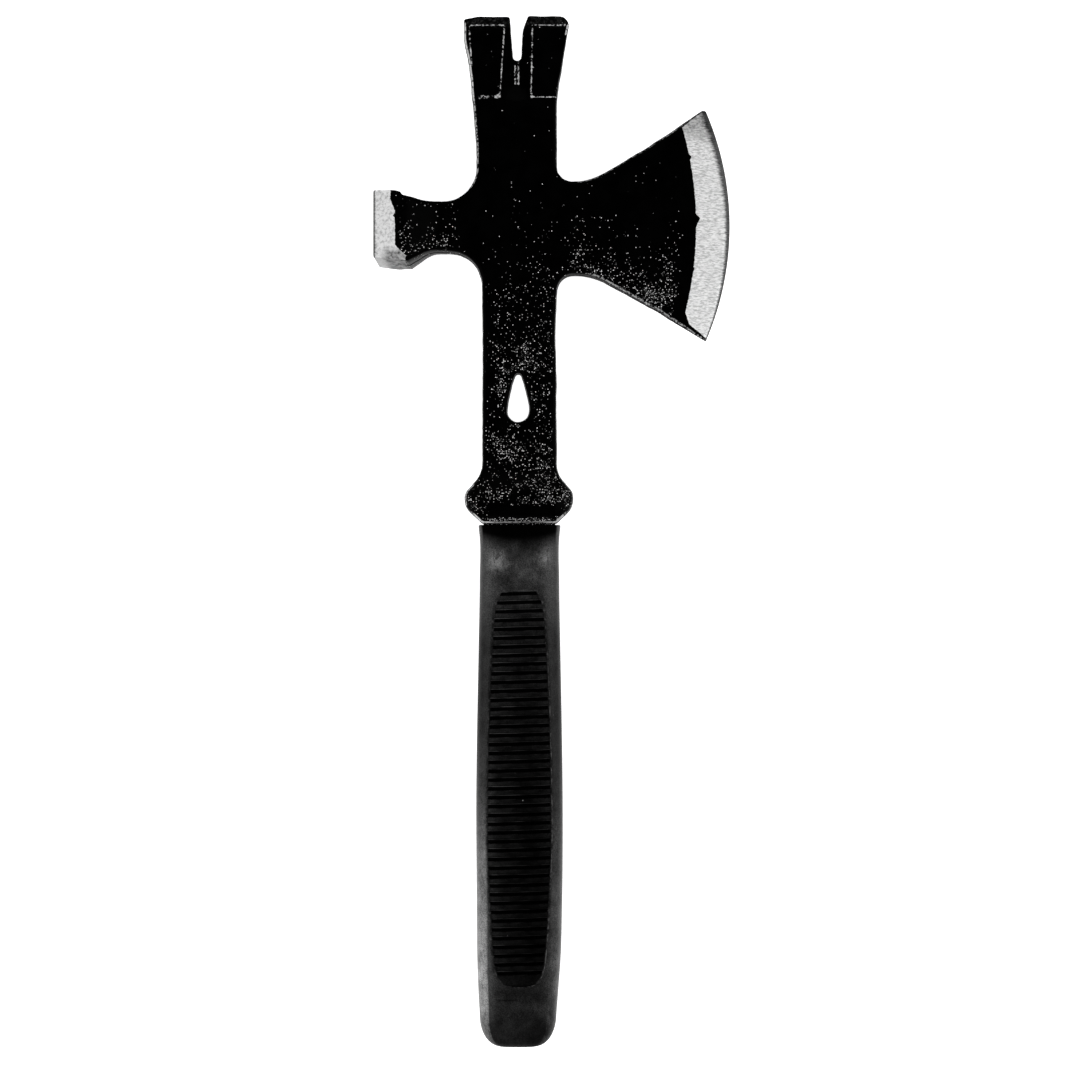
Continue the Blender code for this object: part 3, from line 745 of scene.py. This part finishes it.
def rubber_material():
    """Matt black rubber: ribs with painted shade in the grooves and painted highlights on the lips, and shine
    with painted sheen laid on by attributes.
    """
    n = Nodes("moulded_rubber")
    mm = n.millimetres()
    fine = n.noise(mm, 0.3, 3.0, 0.6)
    cloud = n.noise(mm, 4.5, 4.0, 0.6)
    ribbed = n.math("GREATER_THAN", n.attribute("rib"), 0.0)
    panel = n.math("MULTIPLY", n.ramp(n.attribute("panel_mm"), 0.3, 0.7), ribbed)

    # Each rib has a thin lip along its groove with a painted highlight in places, and a fine painted shade
    # line behind it; the grooves are darkened as painted shade.
    turn = n.math("FRACT", n.attribute("rib"))
    lip = n.ramp(n.math("ABSOLUTE", n.math("SUBTRACT", turn, 0.76)), 0.015, 0.06, 1.0, 0.0)
    line = n.ramp(n.math("ABSOLUTE", n.math("SUBTRACT", turn, 0.845)), 0.015, 0.05, 1.0, 0.0)
    groove = n.ramp(n.math("ABSOLUTE", n.math("SUBTRACT", turn, 0.5)), 0.17, 0.23, 1.0, 0.0)
    streaks = n.noise(n.millimetres((0.14, 1.6, 1.0)), 1.0, 3.0, 0.6)
    painted_lip_highlight = n.math("MULTIPLY", n.math("MULTIPLY", lip, panel), n.ramp(streaks, 0.4, 0.66, 0.05, 1.0))
    painted_groove_shade = n.math("MULTIPLY", n.math("MAXIMUM", groove, n.math("MULTIPLY", line, 0.8)), panel)

    # The panel's border carries a painted highlight, a thin bright line here and there.
    off_border = n.math("ABSOLUTE", n.math("SUBTRACT", n.attribute("panel_mm"), 0.05))
    dashes = n.noise(n.millimetres((1, 0.35, 1)), 1.0, 3.0, 0.6)
    border = n.ramp(off_border, 0.1, 0.25, 1.0, 0.0)
    border = n.math("MULTIPLY", border, n.ramp(dashes, 0.46, 0.62, 0.02, 1.0))

    tone = n.math("MULTIPLY", n.attribute("tone"), n.ramp(cloud, 0.25, 0.75, 0.4, 1.6))
    marks = n.noise(n.millimetres((1.5, 0.5, 1.0)), 1.0, 4.0, 0.65)
    tone = n.math("MULTIPLY", tone, n.ramp(marks, 0.36, 0.5, 0.35, 1.15))
    tone = n.math("MULTIPLY", tone, n.ramp(fine, 0.3, 0.7, 0.5, 1.5))
    tone = n.math("MULTIPLY", tone, n.math("SUBTRACT", 1.0, painted_groove_shade))
    side_light = n.math("MULTIPLY", n.attribute("side_light"), 0.05)
    border_light = n.math("MULTIPLY", n.attribute("border_light"), 0.06)
    tone = n.math("ADD", tone, n.math("MULTIPLY", painted_lip_highlight, side_light))
    tone = n.math("ADD", tone, n.math("MULTIPLY", border, border_light))
    dust = n.facets(mm, 2.6, 0.22, n.attribute("dust"))
    tone = n.math("ADD", tone, n.math("MULTIPLY", dust, 0.35))
    gloss_and_painted_sheen = n.math("MULTIPLY", n.attribute("gloss_and_painted_sheen"), n.math("SUBTRACT", 1.0, n.math("MULTIPLY", painted_groove_shade, 0.9)))
    gloss_and_painted_sheen = n.math("MULTIPLY", gloss_and_painted_sheen, n.ramp(cloud, 0.3, 0.68, 0.72, 1.15))
    gloss_and_painted_sheen = n.math("MULTIPLY", gloss_and_painted_sheen, n.ramp(fine, 0.35, 0.65, 0.45, 1.5))
    return n.finish(
        Base_Color=n.add("ShaderNodeCombineColor", {0: tone, 1: tone, 2: tone}),
        Roughness=n.ramp(cloud, 0.3, 0.7, 0.42, 0.5),
        Specular_IOR_Level=gloss_and_painted_sheen,
        Normal=n.bump(fine, 0.02, 0.6),
    )


def plain_material(name, colour, roughness, glow=0.0):
    n = Nodes(name)
    white = (1.0, 1.0, 1.0, 1.0)
    return n.finish(Base_Color=colour, Roughness=roughness, Emission_Color=white, Emission_Strength=glow)


# --- The rubber grip ---------------------------------------------------------------------------------------

# y, half width, half thickness and the middle's x
GRIP = [
    (0.0, 13.1, 9.0, -0.5), (9.0, 13.2, 9.3, -0.5), (19.0, 13.8, 9.8, -0.4), (30.0, 14.4, 10.3, -0.2),
    (50.0, 14.75, 10.8, 0.0), (84.0, 14.95, 11.2, 0.0), (112.0, 14.6, 10.9, 0.0), (133.0, 14.2, 10.3, 0.0),
    (160.0, 13.75, 9.2, 0.0), (175.0, 13.75, 8.6, 0.0), (GRIP_TOP_Y, 14.2, 8.8, 0.0),
]

# The ribbed panel's ends, and its half width at heights y
PANEL_LOW, PANEL_HIGH = 21.7, 157.2
PANEL = [
    (PANEL_LOW, 1.0), (22.1, 3.4), (24.0, 6.5), (28.0, 8.5), (33.0, 9.2), (50.0, 10.3), (67.0, 11.1),
    (98.0, 11.0), (119.0, 10.4), (140.0, 9.4), (151.0, 8.5), (154.5, 7.6), (PANEL_HIGH, 6.0),
]
PITCH, GROOVE, FIRST_GROOVE = 3.007, 1.0, 26.7
BUTT_ROUND = 5.5         # how far up the rings stay close together
BUTT_REACH = 10.0        # how far up the butt's rounding goes
BUTT_IN_X, BUTT_IN_Z = 7, 5
POWER = 3.6              # the section's squareness: 2 is an ellipse


def grip_mesh():
    """The sleeve's outside as rings, its ribbed panels pressed in, and its open top with the tang's slot."""
    ys = [BUTT_ROUND * (1 - math.cos(a)) for a in np.linspace(0, math.pi / 2, 16)]
    ys += list(np.arange(BUTT_ROUND + 0.3, GRIP_TOP_Y - 0.8, 0.3))
    ys += list(GRIP_TOP_Y - np.array([0.5, 0.3, 0.12, 0.0]))
    ys = np.array(ys)
    width, thick, middle = curve_through(GRIP, ys).T
    butt = 1 - np.sqrt(1 - np.clip(1 - ys / BUTT_REACH, 0, 1)**2)
    lip = 0.5 * (1 - np.sqrt(1 - np.clip(1 - (GRIP_TOP_Y - ys) / 0.5, 0, 1)**2))
    width, thick = width - BUTT_IN_X * butt - lip, thick - BUTT_IN_Z * butt - lip

    # Places round the section: closely across the faces, where the ribs are, and evenly round the sides.
    face = np.linspace(-0.86, 0.86, 52)
    angle_face = np.arccos(np.sign(face) * np.abs(face) ** (POWER / 2))
    front = angle_face[::-1]
    side = np.linspace(-front[0], front[0], 16)[1:-1]
    angles = np.concatenate([front, math.pi + side[::-1], front + math.pi, side])
    angles = np.unique(np.round(np.mod(angles, 2 * math.pi), 6))
    c, s = np.cos(angles), np.sin(angles)
    unit_x = np.sign(c) * np.abs(c) ** (2 / POWER)
    unit_z = np.sign(s) * np.abs(s) ** (2 / POWER)
    x = middle[:, None] + width[:, None] * unit_x[None]
    z = thick[:, None] * unit_z[None]
    y = np.repeat(ys[:, None], len(angles), axis=1)

    # Panels: a shallow recess with grooves across it.
    panel = curve_through(PANEL, ys)[:, 0] * (ys > PANEL_LOW) * (ys < PANEL_HIGH)
    inside = panel[:, None] - np.abs(x)
    end = np.minimum(ys - PANEL_LOW, PANEL_HIGH - ys)[:, None]
    inside = np.minimum(inside, end + 0.2)
    recess = 0.25 * smooth_step(-0.1, 0.45, inside)
    rib = (y - FIRST_GROOVE - 0.03 * x) / PITCH + 0.5
    phase = (np.mod(rib, 1) - 0.5) * PITCH
    groove = (1 - smooth_step(GROOVE / 2 - 0.3, GROOVE / 2 + 0.25, np.abs(phase))) * (rib > 0)
    crown = 0.16 * (1 - np.cos(phase / PITCH * 2 * math.pi)) / 2
    cut = recess + (0.75 * groove + crown * 0.4) * smooth_step(0.2, 0.75, inside)
    z = z - np.sign(z) * cut * (np.abs(unit_z) > 0.5)[None]

    rings, count = x.shape
    points = np.stack([x, y, z], axis=2).reshape(-1, 3)
    faces = []
    for i in range(rings - 1):
        for j in range(count):
            k = (j + 1) % count
            faces.append((i * count + j, i * count + k, (i + 1) * count + k, (i + 1) * count + j))
    faces.append(tuple(range(count - 1, -1, -1)))

    # The open top: its face narrows to the slot that the tang fills.
    top = points[-count:]
    inner_x, inner_z = 9.3, 4.9
    ring_x = np.clip(top[:, 0] * 0.72, -inner_x, inner_x)
    ring_z = np.clip(top[:, 2] * 0.6, -inner_z, inner_z)
    rows = [np.column_stack([ring_x, top[:, 1], ring_z]), np.column_stack([ring_x, top[:, 1] - 12, ring_z])]
    start = len(points)
    points = np.vstack([points] + rows)
    for base, above in ((start - count, start), (start, start + count)):
        for j in range(count):
            k = (j + 1) % count
            faces.append((base + j, base + k, above + k, above + j))
    faces.append(tuple(start + count + j for j in range(count)))
    attributes = {"rib": rib, "panel_mm": inside}
    attributes.update(grip_shading(x, y, inside, unit_x))
    extra = np.zeros(2 * count)
    return points, faces, {name: np.append(values.ravel(), extra) for name, values in attributes.items()}


def grip_shading(x, y, inside, unit_x):
    """Where the rubber is greyed, shiny or dusty, and where light and shade are painted on it: highlights on
    the bulges, rib lips and panel border, sheen down the sides, and the bolster's shadow across the top.
    """
    def spot(at_x, at_y, wide, high):
        return np.exp(-((x - at_x) / wide)**2 - ((y - at_y) / high)**2)

    off_axis = np.abs(unit_x)
    panel = smooth_step(-0.2, 0.5, inside)
    tone = 0.004 + 0.006 * smooth_step(148, 160, y)
    # Painted highlights on two soft bulges over the tang's shoulders, and a faint lighter patch beside them.
    tone = tone + 0.14 * spot(-7.4, 167, 2.6, 3.2) + 0.1 * spot(8.6, 168.8, 1.8, 3.0)
    tone = tone + 0.02 * spot(4, 165, 4, 4)
    tone *= 1 - 0.75 * spot(0, 19, 9, 4.5) - 0.5 * spot(7, 6, 7, 4)
    tang_end = 0.7 * smooth_step(0.35, 0.1, np.abs(y - 17.4))
    tang_end = tang_end * smooth_step(-9, -7, x) * smooth_step(0, -2, x)
    ribs = panel * np.interp(y, (40, 100, 150), (0.9, 0.78, 0.4))
    ribs = ribs * np.interp(x, (-9, 2, 9), (0.72, 1.0, 0.95))
    tone *= 1 - ribs
    heights = (0, 6, 14, 22, 60, 140, 160, 180)
    gloss_and_painted_sheen = 0.6 * np.interp(y, heights, (0.03, 0.1, 0.45, 0.6, 0.45, 0.42, 0.76, 0.76))
    gloss_and_painted_sheen = gloss_and_painted_sheen * (1 - 0.95 * ribs) * (1 - tang_end)
    gloss_and_painted_sheen = gloss_and_painted_sheen * (1 - 0.6 * spot(0, 19.8, 8, 2.6)) * (1 - 0.75 * spot(6, 4, 7, 3.5))
    # Painted sheen down the sides: how strongly each side band shines up the grip, more on the left and low
    # down.
    soft = smooth_step(70, 110, y)
    band = smooth_step(0.73, 0.77, off_axis) * (1 - soft) + smooth_step(0.4, 1.0, off_axis) * soft
    stations = (0, 8, 20, 40, 60, 84, 112, 140, 160, 180)
    left = np.interp(y, stations, (0.05, 0.4, 0.82, 0.7, 0.42, 0.16, 0.05, 0.07, 0.25, 0.25))
    right = np.interp(y, stations, (0.03, 0.13, 0.33, 0.29, 0.19, 0.1, 0.06, 0.08, 0.25, 0.25))
    side = np.where(x < 0, left, right)
    gloss_and_painted_sheen = gloss_and_painted_sheen * (1 - band) + side * band
    uneven = 1 + 0.5 * lumps(np.stack([x, y / 4, x * 0], axis=2).reshape(-1, 3), 2.2, 9).reshape(x.shape)
    # Painted sheen laid into the colour of the side bands, uneven, below the middle of the grip.
    painted_side_sheen = 0.12 * uneven * np.where(x < 0, left, right * 0.6) * smooth_step(110, 60, y)
    tone = tone * (1 - 0.5 * band) + band * painted_side_sheen
    shadow = smooth_step(GRIP_TOP_Y - 2.5, GRIP_TOP_Y - 9, y + 1.2 - 2.2 * off_axis**2)
    shadow = np.where(off_axis > 0.92, 1, 0.015 + 0.985 * shadow)
    side_light = np.interp(x, (-9, -2, 4, 10), (1.0, 0.45, 0.2, 0.35))
    return {
        "tone": tone * shadow, "gloss_and_painted_sheen": gloss_and_painted_sheen * shadow, "dust": np.full(x.shape, 0.05),
        "side_light": side_light * np.interp(y, (30, 110), (0.4, 1)),
        "border_light": np.interp(x, (-4, 4), (0.3, 1.0)) * smooth_step(150, 110, y),
    }


# --- Building ----------------------------------------------------------------------------------------------

points, faces, attributes = forging_mesh()
body = mesh_object("forged_head_and_shank", points, faces, forging_material())
for attribute, values in attributes.items():
    add_attribute(body, attribute, values)
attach(body, "root")
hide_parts("forged_body")

points, faces, attributes = grip_mesh()
grip = mesh_object("ribbed_grip", points, faces, rubber_material())
for attribute, values in attributes.items():
    add_attribute(grip, attribute, values)
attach(grip, "root")
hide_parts("rubber_grip")

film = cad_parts["grip_adhesive"]
film.data.materials[0] = plain_material("rubber_cement", (0.35, 0.27, 0.12, 1), 0.5)


# --- Stage, light and camera -------------------------------------------------------------------------------

floor_mesh = bpy.data.meshes.new("floor")
FLOOR_HALF = 20.0         # metres
floor_corners = [(sx * FLOOR_HALF, sy * FLOOR_HALF, 0) for sx, sy in ((-1, -1), (1, -1), (1, 1), (-1, 1))]
floor_mesh.from_pydata(floor_corners, [], [(0, 1, 2, 3)])
floor = bpy.data.objects.new("floor", floor_mesh)
bpy.context.scene.collection.objects.link(floor)
floor_mesh.materials.append(plain_material("floor", (0.8, 0.8, 0.8, 1), 0.9, 0.92))


def area_light(name, place, size_x, size_y, power):
    """A soft rectangular light aimed at the middle of the tool's underside, in metres and watts."""
    data = bpy.data.lights.new(name, "AREA")
    data.shape = "RECTANGLE"
    data.size, data.size_y = size_x, size_y
    data.energy = power
    light = bpy.data.objects.new(name, data)
    light.location = place
    light.rotation_euler = (-Vector(place)).to_track_quat("-Z", "Y").to_euler()
    bpy.context.scene.collection.objects.link(light)


area_light("left_bank", (-1.3, -0.3, 0.75), 1.0, 1.6, 20)
area_light("right_bank", (1.3, 0.1, 0.75), 1.0, 1.6, 18)
area_light("butt_bank", (0, -1.4, 0.8), 1.6, 0.8, 11)
area_light("claw_bank", (0, 1.4, 0.8), 1.6, 0.8, 10)

world = bpy.data.worlds.new("studio")
world.use_nodes = True
world.node_tree.nodes["Background"].inputs["Color"].default_value = (1, 1, 1, 1)
world.node_tree.nodes["Background"].inputs["Strength"].default_value = 0.01
bpy.context.scene.world = world

CAMERA_X, CAMERA_Y = 7.08, 174.3
CAMERA_HEIGHT = 640.0     # above the forging's middle plane
FRAME_WIDTH = 373.6       # what the picture spans there
camera_data = bpy.data.cameras.new("camera")
camera_data.sensor_width = 36
camera_data.lens = 36 * CAMERA_HEIGHT / FRAME_WIDTH
camera_data.clip_start = 0.01
camera = bpy.data.objects.new("camera", camera_data)
camera.location = (Vector((CAMERA_X, CAMERA_Y, CAMERA_HEIGHT)) + ORIGIN) * MM
bpy.context.scene.collection.objects.link(camera)
bpy.context.scene.camera = camera
bpy.context.scene.view_settings.view_transform = "Standard"
